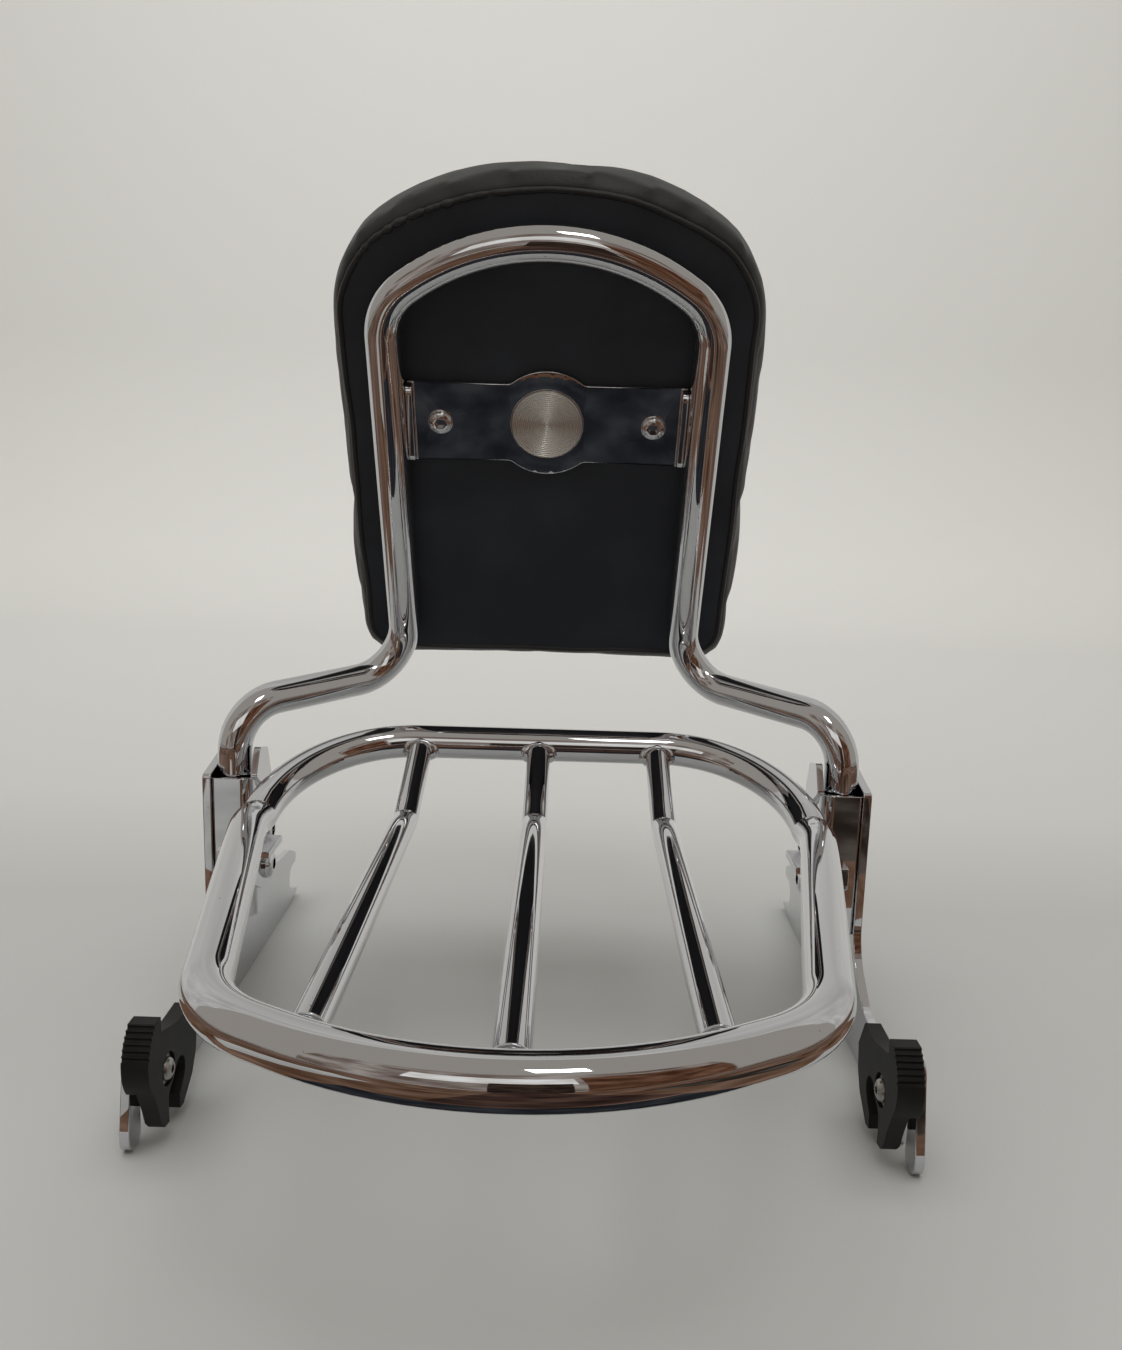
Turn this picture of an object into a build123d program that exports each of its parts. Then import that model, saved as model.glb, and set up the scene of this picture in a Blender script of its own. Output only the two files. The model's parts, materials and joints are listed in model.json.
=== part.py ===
from build123d import *
import math
import os

# Sissy bar with a luggage rack, standing on the lower edges of its side plates.
# X is to the right, Y is forward (towards the rider), Z is up; millimetres.

# Upright hoop: one bent tube
tube_d = 15.9
tube_wall = 1.6
seat_gap = 0.05
leg_x = 70.5
lean_deg = 26.0
knee_y = 117.5
knee_z = 160.3
knee_bend_r = 24.0
arch_top = 216.0
arch_r = 104.0
arch_corner_r = 26.0
# The crown arc is a little under full length, so that its ends stay clear of the corner arcs.
arch_ease = 0.98
foot_x = 143.0
foot_y = 56.0
foot_bottom_z = 64.0
elbow_z = 152.0

# Side plates
plate_t = 4.0
plate_edge_r = 2.5
tower_rear_y = 43.5
tower_front_y = 76.0
tower_rear_z = 122.0
tower_front_z = 128.0
tower_taper = 2.0
tower_neck = 30.0
tower_neck_r = 20.0
arm_top_z = 27.0
rear_web_h = 18.0
rear_web_len = 26.0
rear_web_r = 25.0
front_arm_z = 37.0
front_arm_run = 28.0
front_web = 14.0
front_web_r = 30.0
arm_bend_r = 12.0
hook_tip_y = 200.0
hook_notch_r = 7.5
hook_notch_y = 190.5
hook_notch_z = 15.5
prong_top_z = 35.0
prong_tip_z = 29.0
prong_len = 6.0
spur_tip_z = 5.5
tip_r = 0.6
tine_w = 12.5
tine_tip_r = 6.1
tine_shoulder_z = 10.0
pivot_boss = 15.0
boss_back = 5.5
boss_front = 10.0
boss_run = 32.0
boss_r = 10.0
slot_lip_r = 2.0
dock_slot_w = 10.8
dock_slot_y = -47.5
dock_slot_top_z = 21.9

# Sockets
socket_t = 2.5
socket_fit = 0.25
socket_bottom_z = 52.0
socket_top_z = 120.0
socket_front_y = 68.0
socket_corner_r = 6.0
socket_rear_room = 1.0
ear_t = 3.2
ear_h = 13.5
ear_lap = 1.0

# Rack
rail_d = 15.9
slat_d = 11.1
slat_x = 56.5
rack_z = 113.0
near_bar_y = -192.0
near_bow_r = 128.0
near_bow_deg = 29.0
near_corner_r = 45.0
kink_x = 120.5
kink_y = 14.0
kink_r = 9.5
rail_taper_deg = 11.3
toe_deg = 5.5
toe_run = 12.0
far_rise_deg = 20.3
far_len = 60.5
far_corner_r = 64.0
weld_bead_h = 1.9
weld_bead_w = 6.0
tab_t = 3.0
tab_lip_in_x = 110.0
tab_rear_y = -10.0
tab_bottom_z = 66.0

# Bolts through tab, socket, tube and plate
bolt_d = 8.0
bolt_head_d = 14.0
bolt_head_h = 3.5
bolt_hex = 5.0
bolt_z = (92.0, 75.0)
hole_room = 0.1

# Pad, in the leaning plane of the hoop's legs: x across, s up the legs, n forward
pad_half_w = 94.0
pad_s0 = 3.0
pad_top = 240.0
pad_arch_r = 135.0
pad_corner_r = 44.0
pad_foot_r = 18.0
pad_foot_min_r = 4.0
pad_t = 46.0
pad_crown_r = 600.0
pad_back_r = 9.0
pad_front_r = 15.0
pad_room = 0.5
back_panel_t = 2.2
back_panel_side = 5.0
back_panel_drop = 4.6
back_panel_lift = 7.0
board_t = 5.0
board_inset = 17.0
soft_room = 0.3

# Bracket strap across the legs
strap_t = 3.0
strap_s = 136.0
strap_half_h = 18.4
strap_bulge_r = 24.7
strap_waist_r = 5.0
strap_lip = 9.0
strap_lip_r = 4.0
medallion_d = 32.0
medallion_t = 1.4
medallion_sink = 0.8
pad_screw_x = 48.0
pad_screw_d = 6.0
pad_screw_head_d = 11.0
pad_screw_head_h = 3.2
pad_screw_hex = 4.0
pad_screw_past = 4.0
tee_flange_d = 18.0
tee_flange_t = 1.2
tee_barrel_d = 8.0

# Rotary latches
pivot_y = -52.0
pivot_z = 30.0
lever_t = 10.4
lever_room = 0.3
lever_bore_fit = 0.05
bush_d = 8.0
pivot_screw_d = 5.0
pivot_head_d = 9.2
pivot_head_h = 2.8
pivot_hex = 3.0
latch_washer_d = 12.0
latch_washer_t = 1.2
counterbore_room = 0.7
counterbore_depth = 2.8
spring_washer_d = 14.0
spring_washer_t = 0.8
throat_room = 0.6
latch_turn_deg = 38.0
cam_t = 6.6
hub_d = 20.0
rib_count = 5
rib_groove_r = 0.9
rib_start = 1.6
rib_pitch = 2.4
# Points of the lever about the pivot, Y and Z: the grip's rear arc, the jaw and the lobe that shuts under the post
grip_top = (-12.0, 25.2)
grip_back = (-20.5, 10.0)
grip_foot = (-16.5, -1.5)
grip_front_y = -6.0
jaw = [(-12.5, -10.0), (-9.5, -18.0), (-6.4, -21.3)]
lobe = [(14.6, -24.0), (26.0, -16.5), (31.2, -8.5), (33.2, 2.0), (26.5, 14.3)]
cam_top = [(12.0, 14.0), (-6.0, 19.0)]

# Values that follow from the sizes above
tube_r = tube_d / 2
plate_in_x = foot_x + tube_r + seat_gap
plate_out_x = plate_in_x + plate_t
lean = math.radians(lean_deg)
lean_normal = (0, math.cos(lean), math.sin(lean))
lean_plane = Plane(origin=(0, knee_y, knee_z), x_dir=(1, 0, 0), z_dir=lean_normal)
pad_n0 = tube_r + pad_room
throat_half_w = dock_slot_w / 2 + throat_room
dock_slot_r = dock_slot_w / 2
slot_centre_z = dock_slot_top_z - dock_slot_r
post_y = dock_slot_y - pivot_y
post_z = slot_centre_z - pivot_z
lever_out_x = plate_in_x - spring_washer_t - lever_room
lever_in_x = lever_out_x - lever_t
ear_top_z = socket_top_z + ear_h
bore_floor_x = lever_in_x + counterbore_depth


def lean_point(x, s, n=0.0):
    # The plane's own y axis points down the legs, so s is turned round here.
    return lean_plane.from_local_coords(Vector(x, s * lean_up, n))


lean_up = 1.0 if lean_plane.y_dir.Z > 0 else -1.0


def arch_corners(half_w, top, big_r, corner_r):
    # Tangent points of a shallow arch that meets two straight sides through corner arcs.
    centre_s = top - big_r
    across = half_w - corner_r
    rise = math.sqrt((big_r - corner_r) ** 2 - across ** 2)
    slope = math.atan2(across, rise)
    shoulder = centre_s + rise + corner_r * math.tan((math.pi / 2 - slope) / 2)
    apex = centre_s + big_r / math.cos(slope)
    return shoulder, apex


def tube(path, radius):
    start = Plane(origin=path @ 0, z_dir=path % 0)
    return sweep(start * Circle(radius), path=path)


def rod(start, end, radius):
    axis = Vector(*end) - Vector(*start)
    return Solid.make_cylinder(radius, axis.length, Plane(origin=start, z_dir=axis))


def mirrored(shape):
    return mirror(shape, about=Plane.YZ)


def flat_profile(corners):
    # A closed flat outline with a rounded corner at each point.
    points = [(a, b) for a, b, _ in corners]
    return make_face(FilletPolyline(*points, radius=[r for _, _, r in corners], close=True))


def side_profile(corners):
    return Plane.YZ * flat_profile(corners)


def slab(face, x_from, x_to):
    return Pos(x_from, 0, 0) * extrude(face, amount=x_to - x_from, dir=(1, 0, 0))


def button_screw(head_d, head_h, shank_d, shank_len, hex_size):
    # The underside of the head is at the origin, and the shank runs along +Z.
    r = head_d / 2
    dome = [(0, 0), (r, 0), (r, -head_h * 0.3), (r * 0.86, -head_h * 0.72), (r * 0.56, -head_h), (0, -head_h)]
    head = revolve(Plane.XZ * make_face(Polyline(*dome, close=True)), Axis.Z)
    shank = Pos(0, 0, shank_len / 2) * Cylinder(shank_d / 2, shank_len)
    socket = Pos(0, 0, -head_h) * extrude(RegularPolygon(hex_size / 2, 6, major_radius=False), head_h * 0.6)
    return head + shank - socket


def upright_hoop():
    shoulder, apex = arch_corners(leg_x, arch_top, arch_r, arch_corner_r)
    right = [Vector(foot_x, foot_y, foot_bottom_z), Vector(foot_x, foot_y, elbow_z), lean_point(leg_x, 0),
             lean_point(leg_x, shoulder)]
    left = [Vector(-p.X, p.Y, p.Z) for p in reversed(right)]
    radii = [knee_bend_r, knee_bend_r, arch_corner_r]
    radii = radii + [arch_r * arch_ease] + radii[::-1]
    path = FilletPolyline(*right, lean_point(0, apex), *left, radius=radii)
    hoop = tube(path, tube_r) - tube(path, tube_r - tube_wall)
    for z in bolt_z:
        hoop -= rod((-plate_out_x, foot_y, z), (plate_out_x, foot_y, z), bolt_d / 2 + hole_room)
    return hoop


def pad_outline(inset, drop, lift):
    half_w = pad_half_w - inset
    top = pad_top - drop
    corner = pad_corner_r - inset
    shoulder, apex = arch_corners(half_w, top, pad_arch_r - inset, corner)
    foot = pad_s0 + lift
    points = [(half_w, foot), (half_w, shoulder), (0, apex), (-half_w, shoulder), (-half_w, foot)]
    foot_r = max(pad_foot_r - inset, pad_foot_min_r)
    radii = [foot_r, corner, (pad_arch_r - inset) * arch_ease, corner, foot_r]
    return flat_profile([(x, s * lean_up, r) for (x, s), r in zip(points, radii)])


def pad_slab(outline, n_from, n_to):
    return lean_plane * (Pos(0, 0, n_from) * extrude(outline, n_to - n_from))


def lean_rod(x, s, n_from, n_to, radius):
    return rod(lean_point(x, s, n_from), lean_point(x, s, n_to), radius)


def pad_pieces():
    panel_n = pad_n0 + back_panel_t
    board_n = panel_n + soft_room
    board_end = board_n + board_t
    screw_end = board_end + pad_screw_past
    panel = pad_slab(pad_outline(back_panel_side, back_panel_drop, back_panel_lift), pad_n0, panel_n)
    board = pad_slab(pad_outline(board_inset, board_inset, board_inset), board_n, board_end)
    body = Pos(0, 0, board_n) * extrude(pad_outline(0, 0, 0), pad_t)
    middle_s = (pad_s0 + pad_top) / 2 * lean_up
    body = body & Pos(0, middle_s, board_n + pad_t - pad_crown_r) * Sphere(pad_crown_r)
    body = fillet(body.faces().sort_by(Axis.Z)[-1].edges(), pad_front_r)
    body = fillet(body.faces().sort_by(Axis.Z)[0].edges(), pad_back_r)
    cushion = lean_plane * body
    room = board_inset - soft_room
    cushion -= pad_slab(pad_outline(room, room, room), board_n - soft_room, board_end + soft_room)
    nuts = []
    for x in (-pad_screw_x, pad_screw_x):
        shank_hole = lean_rod(x, strap_s, pad_n0 - 1, screw_end, pad_screw_d / 2 + hole_room)
        panel -= shank_hole
        board -= lean_rod(x, strap_s, board_n - 1, board_end + 1, tee_barrel_d / 2 + hole_room)
        flange = lean_rod(x, strap_s, board_end, board_end + tee_flange_t, tee_flange_d / 2)
        barrel = lean_rod(x, strap_s, board_n + soft_room, board_end, tee_barrel_d / 2)
        nuts.append(flange + barrel - shank_hole)
        flange_pocket = board_end + tee_flange_t + soft_room
        cushion -= lean_rod(x, strap_s, board_end, flange_pocket, tee_flange_d / 2 + soft_room)
        cushion -= lean_rod(x, strap_s, board_end, screw_end + soft_room, pad_screw_d / 2 + soft_room)
    return {"pad_cushion": cushion, "pad_back_panel": panel, "pad_base_board": board, "pad_tee_nuts": nuts}


def pad_bracket():
    strap_n = pad_n0 - strap_t
    end_x = leg_x - tube_r - seat_gap
    face = Rectangle(2 * end_x, 2 * strap_half_h) + Circle(strap_bulge_r)
    waist = [v for v in face.vertices() if abs(abs(v.Y) - strap_half_h) < 0.01 and abs(v.X) < strap_bulge_r]
    face = fillet(waist, strap_waist_r)
    place = lean_plane * Pos(0, strap_s * lean_up, strap_n)
    strap = place * extrude(face, strap_t)
    lip = Pos(end_x - strap_t / 2, 0, strap_t - strap_lip / 2) * Box(strap_t, 2 * strap_half_h, strap_lip)
    lip = fillet(lip.edges().filter_by(Axis.X), strap_lip_r)
    strap += place * lip + place * mirrored(lip)
    recess = Pos(0, 0, medallion_sink / 2) * Cylinder(medallion_d / 2 + hole_room, medallion_sink)
    strap -= place * recess
    for x in (-pad_screw_x, pad_screw_x):
        strap -= lean_rod(x, strap_s, strap_n - 1, pad_n0 + 1, pad_screw_d / 2 + hole_room)
    disc = place * Pos(0, 0, medallion_sink - medallion_t / 2) * Cylinder(medallion_d / 2, medallion_t)
    screws = []
    reach = strap_t + back_panel_t + soft_room + board_t + pad_screw_past
    for x in (-pad_screw_x, pad_screw_x):
        screw = button_screw(pad_screw_head_d, pad_screw_head_h, pad_screw_d, reach, pad_screw_hex)
        screws.append(lean_plane * Pos(x, strap_s * lean_up, strap_n) * screw)
    return {"pad_bracket": strap, "bracket_medallion": disc, "pad_screws": screws}


def toe_point():
    # The rail starts to turn in a little before it is kinked up.
    toe = math.radians(toe_deg)
    return kink_x + toe_run * math.sin(toe), kink_y - toe_run * math.cos(toe)


def near_corner():
    # Where the tangent of the bowed near bar crosses the tapered rail.
    toe_x, toe_y = toe_point()
    slope = math.tan(math.radians(near_bow_deg))
    taper = math.tan(math.radians(rail_taper_deg))
    apex_y = near_bar_y - near_bow_r * (1 / math.cos(math.radians(near_bow_deg)) - 1)
    x = (toe_x + taper * (apex_y - toe_y)) / (1 - taper * slope)
    return apex_y, x, apex_y + slope * x


def far_point(x, along):
    rise = math.radians(far_rise_deg)
    return (x, kink_y + along * math.cos(rise), rack_z + along * math.sin(rise))


def rack_loop():
    apex_y, corner_x, corner_y = near_corner()
    far_x = kink_x - math.tan(math.radians(toe_deg)) * far_len
    right = [(corner_x, corner_y, rack_z), (*toe_point(), rack_z), (kink_x, kink_y, rack_z),
             far_point(far_x, far_len)]
    left = [(-x, y, z) for x, y, z in reversed(right)]
    radii = [near_corner_r, far_corner_r, kink_r, far_corner_r]
    points = [(0, apex_y, rack_z)] + right + left
    path = FilletPolyline(*points, radius=[near_bow_r] + radii + radii[::-1], close=True)
    return tube(path, rail_d / 2)


def near_bar_at(x):
    return near_bar_y + near_bow_r - math.sqrt(near_bow_r ** 2 - x ** 2)


def slat(x, loop):
    points = [(x, near_bar_at(x), rack_z), (x, kink_y, rack_z), far_point(x, far_len)]
    path = FilletPolyline(*points, radius=kink_r)
    return tube(path, slat_d / 2) - loop


def bead_ring(at, along):
    # A low collar about the axis of a slat.
    inner = slat_d / 2
    outer = inner + weld_bead_h
    half = weld_bead_w / 2
    crown = half / 3
    face = make_face(Polyline((inner, -half), (outer, -crown), (outer, crown), (inner, half), close=True))
    return Plane(origin=at, z_dir=along) * revolve(Plane.XZ * face, Axis.Z)


def weld_beads(loop):
    # Each end of each slat has a collar, cut back to the bar that it is welded to.
    beads = []
    stand_off = rail_d / 2
    for x in (-slat_x, 0, slat_x):
        near_at = (x, near_bar_at(x) + stand_off, rack_z)
        far_dir = Vector(*far_point(x, far_len)) - Vector(*far_point(x, 0))
        beads.append(bead_ring(near_at, (0, 1, 0)) - loop)
        beads.append(bead_ring(far_point(x, far_len - stand_off), far_dir) - loop)
    return beads


def rack_tab():
    lip_z = rack_z - rail_d / 2 - seat_gap
    out_x = foot_x - tube_r - socket_fit - socket_t - 2 * seat_gap
    in_x = out_x - tab_t
    flange_front = socket_front_y - 2.0
    lip_front = kink_y - 2
    outline = [(tab_rear_y, lip_z, 1.5), (kink_y + 2, lip_z, 8), (flange_front, lip_z - 5, 6),
               (flange_front, tab_bottom_z, 6), (foot_y - 9, tab_bottom_z, 6), (tab_rear_y, lip_z - 9, 3)]
    flange = slab(side_profile(outline), in_x, out_x)
    lip = Pos((tab_lip_in_x + out_x) / 2, (tab_rear_y + lip_front) / 2, lip_z - tab_t / 2)
    tab = flange + lip * Box(out_x - tab_lip_in_x, lip_front - tab_rear_y, tab_t)
    for z in bolt_z:
        tab -= rod((in_x - 1, foot_y, z), (out_x + 1, foot_y, z), bolt_d / 2 + hole_room)
    bolts = []
    for z in bolt_z:
        bolt = button_screw(bolt_head_d, bolt_head_h, bolt_d, plate_out_x - in_x, bolt_hex)
        bolts.append(Plane(origin=(in_x, foot_y, z), z_dir=(1, 0, 0)) * bolt)
    return tab, bolts


def side_plate():
    tine_front = dock_slot_y - dock_slot_r
    tine_rear = tine_front - tine_w
    slot_front = dock_slot_y + dock_slot_r
    mouth_z = hook_notch_z + hook_notch_r
    tower_foot_y = tower_rear_y - 1
    boss_z = pivot_z + pivot_boss
    outline = [
        (tine_rear, 0, tine_tip_r), (hook_notch_y - 3, 0, 6), (hook_tip_y, spur_tip_z - 2, 1),
        (hook_tip_y, spur_tip_z, tip_r), (hook_notch_y, hook_notch_z - hook_notch_r, tip_r),
        (hook_notch_y, mouth_z, tip_r), (hook_tip_y - 1, mouth_z, 2.5), (hook_tip_y - 1, prong_tip_z, 3),
        (hook_notch_y - prong_len, prong_top_z, prong_len),
        (hook_notch_y - front_arm_run, front_arm_z, arm_bend_r),
        (tower_front_y + front_web, front_arm_z + front_web, front_web_r),
        (tower_front_y, tower_front_z - tower_neck, tower_neck_r),
        (tower_front_y - tower_taper, tower_front_z, plate_edge_r), (tower_rear_y, tower_rear_z, plate_edge_r),
        (tower_foot_y, arm_top_z + rear_web_h, rear_web_r),
        (tower_foot_y - rear_web_len, arm_top_z, tower_neck_r),
        (pivot_y + boss_run, arm_top_z, arm_bend_r), (pivot_y + boss_front, boss_z, boss_r),
        (pivot_y - boss_back, boss_z, tine_tip_r), (tine_rear, tine_shoulder_z, boss_r),
    ]
    flat = flat_profile(outline)
    flat -= Pos(hook_notch_y, hook_notch_z) * Circle(hook_notch_r)
    flat -= Pos(dock_slot_y, slot_centre_z) * Circle(dock_slot_r)
    flat -= Pos(dock_slot_y, 0) * Rectangle(dock_slot_w, 2 * slot_centre_z)
    for y, radius in ((tine_front, tine_tip_r), (slot_front, slot_lip_r)):
        corner = [v for v in flat.vertices() if math.hypot(v.X - y, v.Y) < 0.01]
        flat = fillet(corner, radius)
    plate = slab(Plane.YZ * flat, plate_in_x, plate_out_x)
    holes = [(pivot_y, pivot_z, pivot_screw_d)] + [(foot_y, z, bolt_d) for z in bolt_z]
    for y, z, size in holes:
        plate -= rod((plate_in_x - 1, y, z), (plate_out_x + 1, y, z), size / 2 + hole_room)
    return plate


def upright_socket():
    # A U channel, open towards the front and closed on its outer side by the plate, with an ear inside.
    wall_x = foot_x - tube_r - socket_fit
    rear_y = foot_y - tube_r - socket_rear_room
    shell_in = wall_x - socket_t
    shell_rear = rear_y - socket_t
    shell = flat_profile([(shell_in, socket_front_y, 0.5), (shell_in, shell_rear, socket_corner_r),
                          (plate_in_x, shell_rear, socket_t / 2), (plate_in_x, socket_front_y, 0.5)])
    past = 5.0
    hollow = flat_profile([(wall_x, socket_front_y + past, 0.5), (wall_x, rear_y, socket_corner_r - socket_t),
                           (plate_in_x + past, rear_y, 0.5), (plate_in_x + past, socket_front_y + past, 0.5)])
    channel = Pos(0, 0, socket_bottom_z) * extrude(shell - hollow, socket_top_z - socket_bottom_z)
    ear_in = shell_in - ear_t + 1.0
    ear_outline = [(shell_rear + ear_lap, socket_top_z + ear_lap, 1.5), (rear_y + 6, ear_top_z, 2.5),
                   (socket_front_y - 2, ear_top_z - 3, 4), (socket_front_y + 6, socket_top_z - 12, 3),
                   (socket_front_y - 1, socket_top_z - 13, 3)]
    ear = slab(side_profile(ear_outline), ear_in, ear_in + ear_t)
    socket = channel + ear
    for z in bolt_z:
        socket -= rod((ear_in - 1, foot_y, z), (plate_in_x, foot_y, z), bolt_d / 2 + hole_room)
    return socket


def polar(radius, degrees):
    return (radius * math.cos(math.radians(degrees)), radius * math.sin(math.radians(degrees)))


def across(y, z, x_from, x_to, radius):
    # A rod along X, placed from the pivot.
    return rod((x_from, pivot_y + y, pivot_z + z), (x_to, pivot_y + y, pivot_z + z), radius)


def latch_lever():
    # A thumb grip at the rear top, a thinner cam round the pivot, and a curved throat that opens downwards.
    rear = ThreePointArc(grip_top, grip_back, grip_foot)
    front = [(grip_front_y, grip_top[1]), grip_top]
    outline = make_face([rear, Polyline(grip_foot, *jaw, *lobe, *cam_top, *front)])
    post_r = math.hypot(post_y, post_z)
    post_deg = math.degrees(math.atan2(post_z, post_y))
    end_deg = post_deg + latch_turn_deg
    reach = lever_t * 6
    wedge = make_face(Polyline((0, 0), polar(reach, post_deg), polar(reach, end_deg), close=True))
    ring = Circle(post_r + throat_half_w) - Circle(post_r - throat_half_w)
    throat = (ring & wedge) + Pos(*polar(post_r, end_deg)) * Circle(throat_half_w)
    throat += Pos(post_y, post_z) * Circle(throat_half_w)
    throat += Pos(post_y, post_z - reach / 2) * Rectangle(2 * throat_half_w, reach)
    grip_zone = Pos(grip_front_y - reach / 2, grip_foot[1] + reach / 2) * Rectangle(reach, reach)
    cam = outline - throat
    place = Pos(lever_in_x, pivot_y, pivot_z)
    body = place * extrude(Plane.YZ * cam, cam_t)
    body += place * extrude(Plane.YZ * (outline & grip_zone), lever_t)
    body += across(0, 0, lever_in_x, lever_out_x, hub_d / 2) - place * extrude(Plane.YZ * throat, lever_t)
    body -= across(0, 0, lever_in_x - 1, plate_in_x, bush_d / 2 + lever_bore_fit)
    body -= across(0, 0, lever_in_x - 1, bore_floor_x, latch_washer_d / 2 + counterbore_room)
    for i in range(rib_count + 1):
        groove = rear @ ((rib_start + i * rib_pitch) / rear.length)
        body -= across(groove.X, groove.Y, lever_in_x - 1, plate_in_x, rib_groove_r)
    return body


def latch_hardware():
    bush_end = bore_floor_x - lever_room
    head_x = bush_end - latch_washer_t
    shank = across(0, 0, head_x - 1, plate_out_x, pivot_screw_d / 2 + hole_room)
    bush = across(0, 0, bush_end, plate_in_x, bush_d / 2) - shank
    washer = across(0, 0, head_x, bush_end, latch_washer_d / 2) - shank
    screw = button_screw(pivot_head_d, pivot_head_h, pivot_screw_d, plate_out_x - head_x, pivot_hex)
    screw = Plane(origin=(head_x, pivot_y, pivot_z), z_dir=(1, 0, 0)) * screw
    spring_x = plate_in_x - spring_washer_t
    spring = across(0, 0, spring_x, plate_in_x, spring_washer_d / 2)
    spring -= across(0, 0, spring_x, plate_in_x, bush_d / 2 + hole_room)
    return {"latch_bush": bush, "latch_washer": washer, "latch_pivot_screw": screw,
            "latch_spring_washer": spring}


def write(name, shape):
    if isinstance(shape, list):
        shape = Compound(children=[Solid(s.solid().wrapped) for s in shape])
    export_step(shape, f"parts/{name}.step")


def main():
    os.makedirs("parts", exist_ok=True)
    nodes = {"upright_hoop": upright_hoop()}
    nodes.update(pad_bracket())
    nodes.update(pad_pieces())
    loop = rack_loop()
    slats = [slat(x, loop) for x in (-slat_x, 0, slat_x)]
    nodes["rack_loop"] = loop
    for side, bar in zip(("left", "centre", "right"), slats):
        nodes[f"rack_slat_{side}"] = bar
    nodes["rack_weld_beads"] = weld_beads(loop)
    tab, bolts = rack_tab()
    right = {"rack_tab": tab, "side_plate": side_plate(), "upright_socket": upright_socket(),
             "latch_lever": latch_lever()}
    right.update(latch_hardware())
    for name, shape in right.items():
        nodes[f"{name}_right"] = shape
        nodes[f"{name}_left"] = mirrored(shape)
    nodes["socket_bolts"] = bolts + [mirrored(b) for b in bolts]
    for name, shape in nodes.items():
        write(name, shape)


main()
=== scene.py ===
import json
import math
import bmesh
import bpy
from mathutils import Matrix, Vector, kdtree, noise


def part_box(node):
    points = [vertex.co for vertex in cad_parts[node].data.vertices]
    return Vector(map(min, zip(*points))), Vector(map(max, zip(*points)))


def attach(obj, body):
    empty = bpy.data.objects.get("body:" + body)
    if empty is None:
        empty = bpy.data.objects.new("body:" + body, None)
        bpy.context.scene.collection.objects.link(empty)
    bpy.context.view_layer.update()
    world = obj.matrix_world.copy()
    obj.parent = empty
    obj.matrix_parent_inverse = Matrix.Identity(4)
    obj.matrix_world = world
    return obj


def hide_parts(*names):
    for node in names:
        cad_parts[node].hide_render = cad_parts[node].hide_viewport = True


# Chrome sissy bar with a luggage rack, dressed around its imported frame. Metres, +Y towards the rider, +Z up.

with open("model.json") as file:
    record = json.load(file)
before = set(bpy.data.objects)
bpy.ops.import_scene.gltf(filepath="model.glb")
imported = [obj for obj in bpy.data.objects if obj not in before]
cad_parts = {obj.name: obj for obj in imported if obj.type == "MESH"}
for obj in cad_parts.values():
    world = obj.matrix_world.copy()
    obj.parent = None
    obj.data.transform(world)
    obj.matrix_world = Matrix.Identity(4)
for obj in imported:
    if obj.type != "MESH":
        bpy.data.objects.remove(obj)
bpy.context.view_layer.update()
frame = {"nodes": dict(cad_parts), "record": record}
nodes = frame["nodes"]
mm = 0.001
tiny = {"double": 0.002 * mm, "same": 0.01 * mm, "move": 1e-9}
archEase = 0.98      # leaves a short straight run between an arch and its corners
print("frame loaded, nodes:", len(nodes))

# Shared places: the plane of the hoop's legs leans back, with its origin between the knees.
lean = {"angle": math.radians(26.0), "knee": Vector((0.0, 117.5, 160.3)) * mm}
upLegs = Vector((0, -math.sin(lean["angle"]), math.cos(lean["angle"])))
rearward = Vector((0, -math.cos(lean["angle"]), -math.sin(lean["angle"])))
leanFrame = Matrix.Translation(lean["knee"]) @ Matrix((
    (1, 0, 0, 0),
    (0, upLegs.y, rearward.y, 0),
    (0, upLegs.z, rearward.z, 0),
    (0, 0, 0, 1),
))


def onLean(x, up):
    return leanFrame @ Vector((x, up, 0))


# Materials

def linear(hexCode):
    channels = [int(hexCode[i:i + 2], 16) / 255 for i in (1, 3, 5)]
    return tuple(c / 12.92 if c < 0.04045 else ((c + 0.055) / 1.055) ** 2.4 for c in channels) + (1.0,)


def addNode(tree, kind, settings=None, links=None, stops=None):
    # Settings go to a socket, by name or number, or else to the node itself. Stops colour a ramp.
    node = tree.nodes.new(kind)
    for name, value in (settings or {}).items():
        if isinstance(name, int) or name in node.inputs:
            node.inputs[name].default_value = value
        else:
            setattr(node, name, value)
    for name, source in (links or {}).items():
        tree.links.new(source, node.inputs[name])
    if stops:
        elements = node.color_ramp.elements
        while len(elements) < len(stops):
            elements.new(0.5)
        for element, (position, hexCode) in zip(elements, stops):
            element.position = position
            element.color = linear(hexCode)
    return node


def startMaterial(name, settings):
    material = bpy.data.materials.new(name)
    material.use_nodes = True
    tree = material.node_tree
    shader = tree.nodes["Principled BSDF"]
    for socket, value in settings.items():
        shader.inputs[socket].default_value = value
    coords = addNode(tree, "ShaderNodeTexCoord").outputs["Object"]
    return material, tree, shader, coords


def perMetre(size):
    return 1.0 / (size * mm)      # texture scale that gives features of this many millimetres


chromeLook = {
    "bright": "#d0d1d4", "pit": "#6f6a66", "pitSize": 2.2, "pitDetail": 2.0, "pitFrom": 0.755, "pitTo": 0.8,
    "polish": 0.02, "smear": 0.06, "smearSize": 30.0, "smearDetail": 5.0, "smearFrom": 0.45, "smearTo": 0.75,
}


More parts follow.
